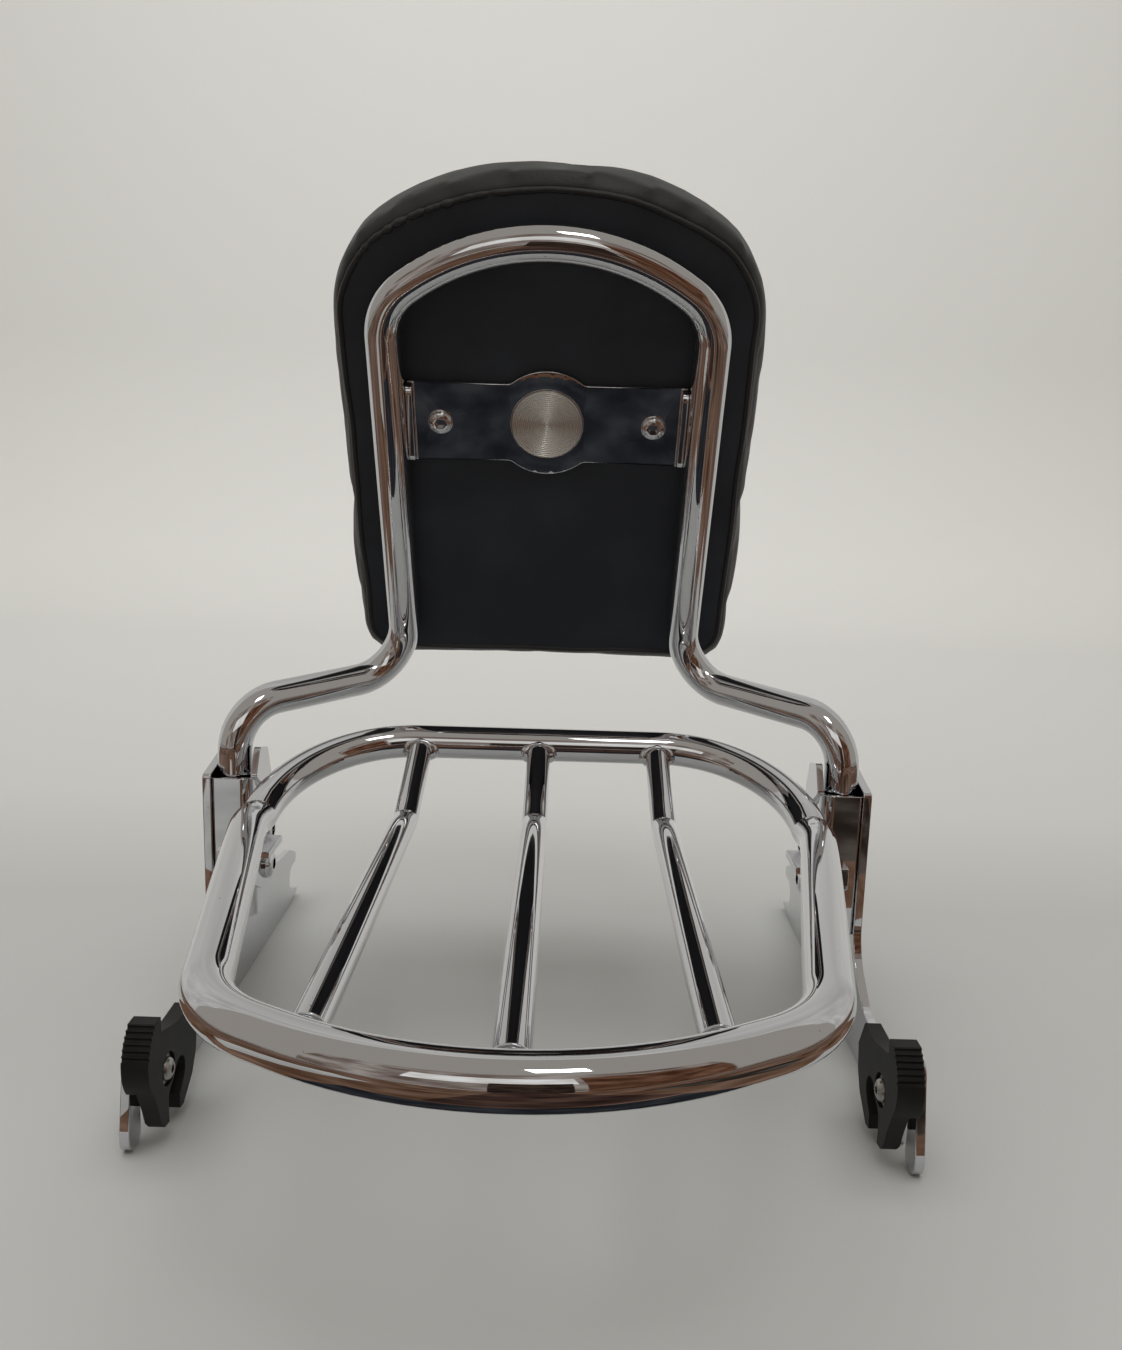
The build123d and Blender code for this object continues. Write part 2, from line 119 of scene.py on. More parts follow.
def makeChrome():
    # Decorative chrome over polished steel: a mirror with a faint haze of handling and a few small pits,
    # which are drawn coarser than real ones so that they show.
    look = chromeLook
    material, tree, shader, coords = startMaterial("chromedSteel", {"Metallic": 1.0})
    pits = addNode(tree, "ShaderNodeTexNoise", {"Scale": perMetre(look["pitSize"]),
                                                "Detail": look["pitDetail"]}, {"Vector": coords})
    stops = [(0.0, look["bright"]), (look["pitFrom"], look["bright"]), (look["pitTo"], look["pit"])]
    colour = addNode(tree, "ShaderNodeValToRGB", links={"Fac": pits.outputs["Fac"]}, stops=stops)
    tree.links.new(colour.outputs["Color"], shader.inputs["Base Color"])
    smear = addNode(tree, "ShaderNodeTexNoise", {"Scale": perMetre(look["smearSize"]),
                                                 "Detail": look["smearDetail"]}, {"Vector": coords})
    rough = addNode(tree, "ShaderNodeMapRange", {"From Min": look["smearFrom"], "From Max": look["smearTo"],
                                                 "To Min": look["polish"], "To Max": look["smear"]},
                    {"Value": smear.outputs["Fac"]})
    tree.links.new(rough.outputs["Result"], shader.inputs["Roughness"])
    return material


vinylLook = {
    "black": "#1a1b1b", "wearAndSheenTone": "#272927", "wearAndSheenFrom": 0.35, "wearAndSheenTo": 0.8, "wearAndSheenSize": 70.0,
    "wearAndSheenDetail": 4.0, "rough": 0.42, "roughWorn": 0.54, "roughFrom": 0.3, "roughTo": 0.7, "specular": 0.4,
    "creaseSize": 24.0, "creaseDetail": 6.0, "crease": 0.25, "creaseDepth": 1.5 * mm,
    "grainSize": 1.3, "grain": 0.2, "grainDepth": 0.3 * mm,
}


def makeVinyl():
    # Embossed upholstery vinyl: a fine leather grain, black with patches of dusty bloom and painted sheen,
    # half gloss.
    look = vinylLook
    material, tree, shader, coords = startMaterial("padVinyl", {"Specular IOR Level": look["specular"]})
    wearAndSheen = addNode(tree, "ShaderNodeTexNoise", {"Scale": perMetre(look["wearAndSheenSize"]),
                                                "Detail": look["wearAndSheenDetail"]}, {"Vector": coords})
    # the lighter olive tone is partly wear and partly a painted sheen, spread in random patches
    stops = [(look["wearAndSheenFrom"], look["black"]), (look["wearAndSheenTo"], look["wearAndSheenTone"])]
    colour = addNode(tree, "ShaderNodeValToRGB", links={"Fac": wearAndSheen.outputs["Fac"]}, stops=stops)
    tree.links.new(colour.outputs["Color"], shader.inputs["Base Color"])
    rough = addNode(tree, "ShaderNodeMapRange", {"From Min": look["roughFrom"], "From Max": look["roughTo"],
                                                 "To Min": look["rough"], "To Max": look["roughWorn"]},
                    {"Value": wearAndSheen.outputs["Fac"]})
    tree.links.new(rough.outputs["Result"], shader.inputs["Roughness"])
    grain = addNode(tree, "ShaderNodeTexVoronoi", {"Scale": perMetre(look["grainSize"]), "feature": "F1"},
                    {"Vector": coords})
    crease = addNode(tree, "ShaderNodeTexNoise", {"Scale": perMetre(look["creaseSize"]),
                                                  "Detail": look["creaseDetail"]}, {"Vector": coords})
    slow = addNode(tree, "ShaderNodeBump", {"Strength": look["crease"], "Distance": look["creaseDepth"]},
                   {"Height": crease.outputs["Fac"]})
    fine = addNode(tree, "ShaderNodeBump", {"Strength": look["grain"], "Distance": look["grainDepth"]},
                   {"Height": grain.outputs["Distance"], "Normal": slow.outputs["Normal"]})
    tree.links.new(fine.outputs["Normal"], shader.inputs["Normal"])
    return material


# Two black mouldings: vacuum-formed ABS is smooth with a faint haze, and glass-filled nylon from a
# spark-eroded mould is matt with chalky wear. Their grain is drawn coarser than the real one, to show.
panelLook = {
    "black": "#25282e", "pale": "#2f333a", "paleFrom": 0.4, "paleTo": 0.75, "patchSize": 45.0,
    "patchDetail": 5.0, "rough": 0.5, "specular": 0.22, "grainSize": 0.9, "grainDetail": 2.0, "grain": 0.08,
    "grainDepth": 0.2 * mm,
}
leverLook = {
    "black": "#0d0d0c", "pale": "#191917", "paleFrom": 0.45, "paleTo": 0.8, "patchSize": 9.0,
    "patchDetail": 5.0, "rough": 0.58, "specular": 0.32, "grainSize": 0.7, "grainDetail": 3.0, "grain": 0.3,
    "grainDepth": 0.15 * mm,
}


def makeMoulding(name, look):
    settings = {"Roughness": look["rough"], "Specular IOR Level": look["specular"]}
    material, tree, shader, coords = startMaterial(name, settings)
    patch = addNode(tree, "ShaderNodeTexNoise", {"Scale": perMetre(look["patchSize"]),
                                                 "Detail": look["patchDetail"]}, {"Vector": coords})
    stops = [(look["paleFrom"], look["black"]), (look["paleTo"], look["pale"])]
    colour = addNode(tree, "ShaderNodeValToRGB", links={"Fac": patch.outputs["Fac"]}, stops=stops)
    tree.links.new(colour.outputs["Color"], shader.inputs["Base Color"])
    grain = addNode(tree, "ShaderNodeTexNoise", {"Scale": perMetre(look["grainSize"]),
                                                 "Detail": look["grainDetail"]}, {"Vector": coords})
    bump = addNode(tree, "ShaderNodeBump", {"Strength": look["grain"], "Distance": look["grainDepth"]},
                   {"Height": grain.outputs["Fac"]})
    tree.links.new(bump.outputs["Normal"], shader.inputs["Normal"])
    return material


platedLook = {
    "zinc": "#b4b3ae", "dull": "#8f8d88", "dullTo": 0.35, "zincFrom": 0.65, "rough": 0.3, "cloudSize": 3.0,
    "cloudDetail": 3.0,
}


def makePlatedSteel():
    # Zinc-plated steel: bright grey, a little cloudy.
    look = platedLook
    settings = {"Metallic": 1.0, "Roughness": look["rough"]}
    material, tree, shader, coords = startMaterial("zincPlatedSteel", settings)
    cloud = addNode(tree, "ShaderNodeTexNoise", {"Scale": perMetre(look["cloudSize"]),
                                                 "Detail": look["cloudDetail"]}, {"Vector": coords})
    stops = [(look["dullTo"], look["dull"]), (look["zincFrom"], look["zinc"])]
    colour = addNode(tree, "ShaderNodeValToRGB", links={"Fac": cloud.outputs["Fac"]}, stops=stops)
    tree.links.new(colour.outputs["Color"], shader.inputs["Base Color"])
    return material


discLook = {
    "silver": "#efece6", "groove": "#d6d3cc", "silverFrom": 0.6, "rough": 0.34, "ringPitch": 0.9,
    "ringDepth": 0.4 * mm,
}


def makeTurnedDisc():
    # Satin aluminium faced on a lathe: its rings gather the light in a fan about the middle of the disc.
    # They are drawn wider apart than a lathe leaves them, so that they show; their valleys hold painted shade.
    look = discLook
    settings = {"Metallic": 1.0, "Roughness": look["rough"]}
    material, tree, shader, coords = startMaterial("turnedAluminium", settings)
    low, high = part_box("bracket_medallion")
    middle = (low + high) / 2
    centred = addNode(tree, "ShaderNodeVectorMath", {"operation": "SUBTRACT", 1: middle}, {0: coords})
    away = addNode(tree, "ShaderNodeVectorMath", {"operation": "LENGTH"}, {0: centred.outputs["Vector"]})
    turns = 2 * math.pi * perMetre(look["ringPitch"])
    rings = addNode(tree, "ShaderNodeMath", {"operation": "MULTIPLY", 1: turns}, {0: away.outputs["Value"]})
    wave = addNode(tree, "ShaderNodeMath", {"operation": "SINE"}, {0: rings.outputs["Value"]})
    level = addNode(tree, "ShaderNodeMapRange", {"From Min": -1.0, "From Max": 1.0},
                    {"Value": wave.outputs["Value"]})
    # the darker tone in the ring valleys is painted shade
    stops = [(0.0, look["groove"]), (look["silverFrom"], look["silver"])]
    colour = addNode(tree, "ShaderNodeValToRGB", links={"Fac": level.outputs["Result"]}, stops=stops)
    tree.links.new(colour.outputs["Color"], shader.inputs["Base Color"])
    bump = addNode(tree, "ShaderNodeBump", {"Strength": 1.0, "Distance": look["ringDepth"]},
                   {"Height": level.outputs["Result"]})
    tree.links.new(bump.outputs["Normal"], shader.inputs["Normal"])
    return material


plyLook = {
    "birch": "#b08d62", "grain": "#8a6a45", "grainTo": 0.2, "birchFrom": 0.8, "rough": 0.7,
    "distortion": 6.0, "threeBands": 120.0,      # a wave texture draws about three bands in this many mm
}


def makePlywood():
    # Raw birch plywood: pale brown with a long grain. It is hidden inside the pad.
    look = plyLook
    material, tree, shader, coords = startMaterial("birchPly", {"Roughness": look["rough"]})
    grain = addNode(tree, "ShaderNodeTexWave", {"Scale": perMetre(look["threeBands"]),
                                                "Distortion": look["distortion"]}, {"Vector": coords})
    stops = [(look["grainTo"], look["grain"]), (look["birchFrom"], look["birch"])]
    colour = addNode(tree, "ShaderNodeValToRGB", links={"Fac": grain.outputs["Fac"]}, stops=stops)
    tree.links.new(colour.outputs["Color"], shader.inputs["Base Color"])
    return material


materials = {
    "chromed_steel": makeChrome(),
    "plated_steel": makePlatedSteel(),
    "turned_disc": makeTurnedDisc(),
    "pad_vinyl": makeVinyl(),
    "panel_plastic": makeMoulding("panelAbs", panelLook),
    "board_ply": makePlywood(),
    "lever_plastic": makeMoulding("leverNylon", leverLook),
}
print("materials made:", len(materials))


def setMaterial(piece, slotName):
    piece.data.materials.clear()
    piece.data.materials.append(materials[slotName])


def addObject(name, data):
    made = bpy.data.objects.new(name, data)
    bpy.context.scene.collection.objects.link(made)
    return made


def smoothFaces(mesh):
    for polygon in mesh.polygons:
        polygon.use_smooth = True


def newPiece(name, mesh, slotName, body="frame"):
    piece = addObject(name, mesh)
    smoothFaces(mesh)
    setMaterial(piece, slotName)
    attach(piece, body)
    return piece


def plainMesh(bm, name):
    mesh = bpy.data.meshes.new(name)
    bm.to_mesh(mesh)
    bm.free()
    return mesh


def mergedMesh(bm, name):
    bmesh.ops.remove_doubles(bm, verts=bm.verts[:], dist=tiny["double"])
    bmesh.ops.recalc_face_normals(bm, faces=bm.faces[:])
    return plainMesh(bm, name)


def evaluatedMesh(piece):
    bpy.context.view_layer.update()
    graph = bpy.context.evaluated_depsgraph_get()
    return bpy.data.meshes.new_from_object(piece.evaluated_get(graph))


# Tubes: a ring is pushed along straight runs and spun round the bends.

tubeLook = {"ringSegments": 56, "degreesPerStep": 3.0, "ringSpacing": 2.0 * mm}


def edgesOf(verts):
    return list(dict.fromkeys(e for v in verts for e in v.link_edges))      # each once, in a fixed order


def vertsOf(edges):
    return list(dict.fromkeys(v for e in edges for v in e.verts))


def startRing(bm, at, along, radius):
    place = Matrix.Translation(at) @ along.to_track_quat("Z", "Y").to_matrix().to_4x4()
    made = bmesh.ops.create_circle(bm, segments=tubeLook["ringSegments"], radius=radius, matrix=place)
    return edgesOf(made["verts"])


def pushRing(bm, ring, step):
    made = bmesh.ops.extrude_edge_only(bm, edges=ring)["geom"]
    verts = [g for g in made if isinstance(g, bmesh.types.BMVert)]
    bmesh.ops.translate(bm, verts=verts, vec=step)
    moved = set(verts)
    return [g for g in made if isinstance(g, bmesh.types.BMEdge) and set(g.verts) <= moved]


def runRing(bm, ring, step):
    count = max(1, round(step.length / tubeLook["ringSpacing"]))
    for _ in range(count):
        ring = pushRing(bm, ring, step / count)
    return ring


def spinRing(bm, ring, centre, axis, angle):
    steps = max(2, round(math.degrees(abs(angle)) / tubeLook["degreesPerStep"]))
    made = bmesh.ops.spin(bm, geom=ring + vertsOf(ring), cent=centre, axis=axis, angle=angle, steps=steps,
                          use_merge=False, use_duplicate=False)
    return [g for g in made["geom_last"] if isinstance(g, bmesh.types.BMEdge)]


def sweepTube(bm, points, bends, radius, halfLast=False):
    # A bend belongs to each point between the ends; halfLast stops in the middle of the last bend.
    at = points[0]
    ring = startRing(bm, at, (points[1] - points[0]).normalized(), radius)
    first = ring
    for i, bendRadius in enumerate(bends):
        corner = points[i + 1]
        before = (corner - points[i]).normalized()
        after = (points[i + 2] - corner).normalized()
        turn = before.angle(after)
        reach = bendRadius * math.tan(turn / 2)
        begin = corner - before * reach
        if (begin - at).length > tiny["same"]:
            ring = runRing(bm, ring, begin - at)
        axis = before.cross(after).normalized()
        centre = begin + axis.cross(before) * bendRadius
        isHalf = halfLast and i == len(bends) - 1
        ring = spinRing(bm, ring, centre, axis, turn / 2 if isHalf else turn)
        at = corner + after * reach
    if not halfLast:
        runRing(bm, ring, points[-1] - at)
    return first


def mirrorAcross(bm):
    bmesh.ops.mirror(bm, geom=bm.verts[:] + bm.edges[:] + bm.faces[:], axis="X", merge_dist=tiny["same"])


def boreEnd(bm, ring, inward, wall, radius, depth):
    # Turns the open end of a tube in by its wall and closes the bore some way up.
    middle = sum((v.co for e in ring for v in e.verts), Vector()) / (2 * len(ring))
    lip = pushRing(bm, ring, Vector((0, 0, 0)))
    shrink = (radius - wall) / radius
    bmesh.ops.scale(bm, verts=vertsOf(lip), vec=(shrink, shrink, 1), space=Matrix.Translation(-middle))
    deep = pushRing(bm, lip, inward * depth)
    bmesh.ops.edgeloop_fill(bm, edges=deep)


hoop = {
    "radius": 7.95 * mm, "wall": 1.6 * mm, "legX": 70.5 * mm, "foot": Vector((143.0, 56.0, 64.0)) * mm,
    "elbowZ": 152.0 * mm, "kneeBend": 24.0 * mm, "archTop": 216.0 * mm, "archRadius": 104.0 * mm,
    "cornerRadius": 26.0 * mm, "boreDepth": 40.0 * mm,
}


def buildHoop():
    across = hoop["legX"] - hoop["cornerRadius"]
    centreUp = hoop["archTop"] - hoop["archRadius"]
    rise = math.sqrt((hoop["archRadius"] - hoop["cornerRadius"]) ** 2 - across ** 2)
    slope = math.atan2(across, rise)
    shoulder = centreUp + rise + hoop["cornerRadius"] * math.tan((math.pi / 2 - slope) / 2)
    apex = centreUp + hoop["archRadius"] / math.cos(slope)
    elbow = Vector((hoop["foot"].x, hoop["foot"].y, hoop["elbowZ"]))
    points = [hoop["foot"], elbow, onLean(hoop["legX"], 0), onLean(hoop["legX"], shoulder), onLean(0, apex),
              onLean(-hoop["legX"], shoulder)]
    bends = [hoop["kneeBend"], hoop["kneeBend"], hoop["cornerRadius"], hoop["archRadius"] * archEase]
    bm = bmesh.new()
    footRing = sweepTube(bm, points, bends, hoop["radius"], halfLast=True)
    boreEnd(bm, footRing, Vector((0, 0, 1)), hoop["wall"], hoop["radius"], hoop["boreDepth"])
    mirrorAcross(bm)
    piece = newPiece("hoopTube", mergedMesh(bm, "hoopTube"), "chromed_steel")
    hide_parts("upright_hoop")


rack = {
    "radius": 7.95 * mm, "slatRadius": 5.55 * mm, "z": 113.0 * mm, "kink": Vector((120.5, 14.0)) * mm,
    "taper": math.radians(11.3), "toe": math.radians(5.5), "toeRun": 12.0 * mm, "nearY": -192.0 * mm,
    "bowRadius": 128.0 * mm, "bowAngle": math.radians(29.0), "cornerRadius": 45.0 * mm,
    "farRise": math.radians(20.3), "farLength": 60.5 * mm, "farCorner": 64.0 * mm, "railKink": 8.6 * mm,
    "slatKink": 6.0 * mm, "slatX": 56.5 * mm,
}
slatPlaces = {"left": -rack["slatX"], "centre": 0.0, "right": rack["slatX"]}
# The press leaves a dent on the inner side of each kink, and a few ripples on the rails. Nothing further
# from the kink than its zone, in tube radii, is moved.
railCrimp = {
    "dent": 0.4 * mm, "dentReach": 5.0 * mm, "ripple": 0.16 * mm, "pitch": 5.0 * mm, "reach": 8.0 * mm,
    "zone": 4,
}
slatCrimp = {
    "dent": 0.7 * mm, "dentReach": 9.0 * mm, "ripple": 0.0, "pitch": 5.0 * mm, "reach": 8.0 * mm,
    "zone": 4,
}


def farPoint(x, along):
    return Vector((x, rack["kink"].y + along * math.cos(rack["farRise"]),
                   rack["z"] + along * math.sin(rack["farRise"])))


def nearBarY(x):
    return rack["nearY"] + rack["bowRadius"] - math.sqrt(rack["bowRadius"] ** 2 - x ** 2)


def crimpKink(bm, points, i, radius, crimp):
    before = (points[i] - points[i - 1]).normalized()
    after = (points[i + 1] - points[i]).normalized()
    inside = (after - before).normalized()
    along = (after + before).normalized()
    for v in bm.verts:
        offset = v.co - points[i]
        if offset.length > crimp["zone"] * radius:
            continue
        s = offset.dot(along)
        lift = max(0.0, offset.dot(inside) / radius)
        dent = crimp["dent"] * math.exp(-(s / crimp["dentReach"]) ** 2)
        fade = math.exp(-(s / crimp["reach"]) ** 2)
        ripple = crimp["ripple"] * math.cos(2 * math.pi * s / crimp["pitch"]) * fade
        v.co -= inside * lift * (dent + ripple)


def buildRackLoop():
    kink = Vector((rack["kink"].x, rack["kink"].y, rack["z"]))
    toe = kink + Vector((math.sin(rack["toe"]), -math.cos(rack["toe"]), 0)) * rack["toeRun"]
    slope = math.tan(rack["bowAngle"])
    taper = math.tan(rack["taper"])
    apexY = rack["nearY"] - rack["bowRadius"] * (1 / math.cos(rack["bowAngle"]) - 1)
    cornerX = (toe.x + taper * (apexY - toe.y)) / (1 - taper * slope)
    farX = kink.x - math.tan(rack["toe"]) * rack["farLength"]
    nearCorner = Vector((cornerX, apexY + slope * cornerX, rack["z"]))
    points = [farPoint(0, rack["farLength"]), farPoint(farX, rack["farLength"]), kink, toe, nearCorner,
              Vector((0, apexY, rack["z"])), Vector((-nearCorner.x, nearCorner.y, rack["z"]))]
    bends = [rack["farCorner"], rack["railKink"], rack["farCorner"], rack["cornerRadius"], rack["bowRadius"]]
    bm = bmesh.new()
    sweepTube(bm, points, bends, rack["radius"], halfLast=True)
    crimpKink(bm, points, 2, rack["radius"], railCrimp)
    mirrorAcross(bm)
    piece = newPiece("rackLoop", mergedMesh(bm, "rackLoop"), "chromed_steel")
    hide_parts("rack_loop")


def buildSlats():
    for side, x in slatPlaces.items():
        points = [Vector((x, nearBarY(x), rack["z"])), Vector((x, rack["kink"].y, rack["z"])),
                  farPoint(x, rack["farLength"])]
        bm = bmesh.new()
        sweepTube(bm, points, [rack["slatKink"]], rack["slatRadius"])
        crimpKink(bm, points, 1, rack["slatRadius"], slatCrimp)
        name = "rackSlat_" + side
        piece = newPiece(name, mergedMesh(bm, name), "chromed_steel")
        piece.visible_glossy = False      # the strap shows a plain dark mirror image, without the slats
        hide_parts("rack_slat_" + side)


# Weld beads: thick at the far bar's sides of each slat, thin above it and at the near bar.
weld = {
    "farSide": 2.8 * mm, "farTop": 0.6 * mm, "nearSide": 0.8 * mm, "nearTop": 0.4 * mm, "spread": 0.3 * mm,
    "sideBias": 3, "lump": 0.9 * mm, "lumpSize": 3.2 * mm, "ringSteps": 72, "section": 16,
}


def buildBead(bm, at, along, side, top):
    # A ring with a section of 1 mm radius, which then swells to the bead's own thickness.
    place = Matrix.Translation(at) @ along.to_track_quat("Z", "Y").to_matrix().to_4x4()
    centre = rack["slatRadius"] + weld["spread"]
    out = Matrix.Translation((centre, 0, 0)) @ Matrix.Rotation(math.pi / 2, 4, "X")
    ring = bmesh.ops.create_circle(bm, segments=weld["section"], radius=mm, matrix=out)["verts"]
    before = set(bm.verts) - set(ring)
    bmesh.ops.spin(bm, geom=ring + edgesOf(ring), cent=(0, 0, 0), axis=(0, 0, 1), angle=2 * math.pi,
                   steps=weld["ringSteps"], use_merge=True)
    made = [v for v in bm.verts if v not in before]
    for v in made:
        outward = Vector((v.co.x, v.co.y, 0)).normalized()
        core = outward * centre
        thick = top + (side - top) * abs(outward.x) ** weld["sideBias"]
        lump = weld["lump"] * noise.noise((at + v.co) / weld["lumpSize"]) * thick / weld["farSide"]
        v.co = core + (v.co - core) * (thick + lump) / mm
    bmesh.ops.transform(bm, matrix=place, verts=made)


def buildWelds():
    bm = bmesh.new()
    for x in slatPlaces.values():
        farWay = (farPoint(x, 1) - farPoint(x, 0)).normalized()
        nearAt = Vector((x, nearBarY(x) + rack["radius"], rack["z"]))
        farAt = farPoint(x, rack["farLength"] - rack["radius"])
        buildBead(bm, nearAt, Vector((0, 1, 0)), weld["nearSide"], weld["nearTop"])
        buildBead(bm, farAt, farWay, weld["farSide"], weld["farTop"])
    piece = newPiece("weldBeads", mergedMesh(bm, "weldBeads"), "chromed_steel")
    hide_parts("rack_weld_beads")


buildHoop()
buildRackLoop()
buildSlats()
buildWelds()
print("tubes and welds made")


# Pad: a board-backed cushion, blown up as cloth and held flat at the back. It is made in the plane of the
# hoop's legs, x across, y up the legs and z to the rear, and then leaned with it.

pad = {
    "archRadius": 135.0 * mm, "corner": 44.0 * mm, "foot": 18.0 * mm, "outlineSteps": 14,
    "shrink": 0.8 * mm, "inset": 0.4 * mm, "rise": 1.9 * mm, "sag": 1.2 * mm,
    "backRound": 4.0 * mm, "frontRound": 13.0 * mm, "roundSteps": 5, "crown": 600.0 * mm,
    "voxel": 5.0 * mm, "held": 1.5 * mm, "pressure": 4.0, "stretch": 0.008, "frames": 20, "cap": 3.5 * mm,
    "smoothLevels": 2, "slack": 0.6 * mm, "slackSize": 42.0 * mm,
}
# The cover is turned over the edge of the back panel in a soft roll, gathered at the top left.
fold = {
    "inset": 5.0 * mm, "drop": 4.6 * mm, "lift": 7.0 * mm, "step": 0.8 * mm,
    "out": 1.5 * mm, "height": 1.9 * mm, "width": 3.0 * mm,
    "roll": 1.4 * mm, "rollLift": 1.9 * mm, "rollSteps": 3, "wander": 1.0 * mm, "wanderSize": 26.0 * mm,
    "pucker": 1.6 * mm, "puckerSize": 3.0 * mm, "gatherAt": Vector((-50.0, 222.0)) * mm,
    "gatherReach": 34.0 * mm,
}


def leanBox(nodeName):
    inverse = leanFrame.inverted()
    places = [inverse @ v.co for v in nodes[nodeName].data.vertices]
    low = Vector([min(p[i] for p in places) for i in range(3)])
    high = Vector([max(p[i] for p in places) for i in range(3)])
    return low, high


def padOutline(bm, low, high, inset, drop, lift):
    halfWidth = high.x - inset
    foot = low.y + lift
    corner = pad["corner"] - inset
    arch = pad["archRadius"] - inset
    across = halfWidth - corner
    rise = math.sqrt((arch - corner) ** 2 - across ** 2)
    slope = math.atan2(across, rise)
    centreUp = high.y - drop - arch
    shoulder = centreUp + rise + corner * math.tan((math.pi / 2 - slope) / 2)
    apex = centreUp + arch / math.cos(slope)
    footRadius = pad["foot"] - inset
    outline = [(halfWidth, foot, footRadius), (halfWidth, shoulder, corner), (0, apex, arch * archEase),
               (-halfWidth, shoulder, corner), (-halfWidth, foot, footRadius)]
    verts = [bm.verts.new((x, y, high.z)) for x, y, _ in outline]
    bm.faces.new(verts)
    corners = [Vector((x, y, 0)) for x, y, _ in outline]
    for i, vert in enumerate(verts):
        before = (corners[i - 1] - corners[i]).normalized()
        after = (corners[(i + 1) % len(corners)] - corners[i]).normalized()
        reach = outline[i][2] / math.tan(before.angle(after) / 2)
        bmesh.ops.bevel(bm, geom=[vert], offset=reach, offset_type="OFFSET", affect="VERTICES",
                        segments=pad["outlineSteps"], profile=0.5, material=-1)
    return bm.faces[:]


def padBlock(low, high):
    bm = bmesh.new()
    thickness = high.z - low.z - pad["shrink"]
    back = padOutline(bm, low, high, pad["inset"], -pad["rise"], -pad["sag"])
    made = bmesh.ops.extrude_face_region(bm, geom=back)["geom"]
    front = [g for g in made if isinstance(g, bmesh.types.BMVert)]
    bmesh.ops.translate(bm, verts=front, vec=(0, 0, -thickness))
    bmesh.ops.recalc_face_normals(bm, faces=bm.faces[:])
    for level, roundness in ((high.z - thickness, pad["frontRound"]), (high.z, pad["backRound"])):
        rim = [e for e in bm.edges if all(abs(v.co.z - level) < tiny["same"] for v in e.verts)]
        bmesh.ops.bevel(bm, geom=rim, offset=roundness, offset_type="OFFSET", affect="EDGES",
                        segments=pad["roundSteps"], profile=0.5, material=-1)
    return plainMesh(bm, "padBlock")


def crownFront(mesh, low, high):
    middle = (low.y + high.y) / 2
    for v in mesh.vertices:
        depth = (high.z - v.co.z) / (high.z - low.z)
        v.co.z += depth * (v.co.x ** 2 + (v.co.y - middle) ** 2) / (2 * pad["crown"])


def blowUp(mesh, low, high):
    block = addObject("padBlock", mesh)
    remesh = block.modifiers.new("remesh", "REMESH")
    remesh.mode = "VOXEL"
    remesh.voxel_size = pad["voxel"]
    soft = addObject("padSoft", evaluatedMesh(block))
    bpy.data.objects.remove(block)
    crownFront(soft.data, low, high)
    start = [v.co.copy() for v in soft.data.vertices]
    held = soft.vertex_groups.new(name="held")
    held.add([v.index for v in soft.data.vertices if v.co.z > high.z - pad["held"]], 1.0, "REPLACE")
    cloth = soft.modifiers.new("cloth", "CLOTH")
    cloth.settings.use_pressure = True
    cloth.settings.uniform_pressure_force = pad["pressure"]
    cloth.settings.effector_weights.gravity = 0.0
    cloth.settings.vertex_group_mass = "held"
    cloth.settings.shrink_min = -pad["stretch"]
    for step in range(1, pad["frames"] + 1):
        bpy.context.scene.frame_set(step)
    blown = evaluatedMesh(soft)
    bpy.context.scene.frame_set(1)
    soft.modifiers.clear()
    for vert, new, old in zip(soft.data.vertices, blown.vertices, start):
        move = new.co - old
        vert.co = old + move * min(1.0, pad["cap"] / max(move.length, tiny["move"]))
    return soft


def foldLine(low, high):
    bm = bmesh.new()
    face = padOutline(bm, low, high, fold["inset"], fold["drop"], fold["lift"])[0]
    corners = [v.co.copy() for v in face.verts]
    bm.free()
    places = []
    for begin, end in zip(corners, corners[1:] + corners[:1]):
        count = math.ceil((end - begin).length / fold["step"])
        places += [begin.lerp(end, i / count) for i in range(count)]
    return places


def foldCover(mesh, low, high, places):
    # Slackens the front a little, and raises the back along the fold.
    line = kdtree.KDTree(len(places))
    for i, place in enumerate(places):
        line.insert(place, i)
    line.balance()
    middle = Vector((0, (low.y + high.y) / 2, 0))
    normals = [v.normal.copy() for v in mesh.vertices]
    for v, normal in zip(mesh.vertices, normals):
        depth = (high.z - v.co.z) / (high.z - low.z)
        v.co += normal * depth * pad["slack"] * noise.noise(v.co / pad["slackSize"])
        if v.co.z < high.z - pad["backRound"]:
            continue
        flat = Vector((v.co.x, v.co.y, high.z))
        near, _, distance = line.find(flat)
        out = distance if (flat - near).dot(near - middle) > 0 else -distance
        v.co.z += fold["height"] * math.exp(-((out - fold["out"]) / fold["width"]) ** 2)


def rollMesh(low, high, places):
    middle = Vector((0, (low.y + high.y) / 2, high.z))
    curve = bpy.data.curves.new("coverRoll", "CURVE")
    curve.dimensions = "3D"
    curve.bevel_depth = fold["roll"]
    curve.bevel_resolution = fold["rollSteps"]
    spline = curve.splines.new("POLY")
    spline.points.add(len(places) - 1)
    spline.use_cyclic_u = True
    for point, place in zip(spline.points, places):
        away = (place - middle).normalized()
        gather = math.exp(-((place.xy - fold["gatherAt"]).length / fold["gatherReach"]) ** 2)
        pucker = fold["pucker"] * gather * noise.noise(place / fold["puckerSize"])
        wander = fold["wander"] * noise.noise(place / fold["wanderSize"])
        at = place + away * wander + Vector((0, 0, fold["rollLift"] + pucker))
        point.co = (*at, 1)
        point.radius = 1 + pucker / fold["roll"] / 2
    holder = addObject("coverRoll", curve)
    mesh = evaluatedMesh(holder)
    bpy.data.objects.remove(holder)
    return mesh


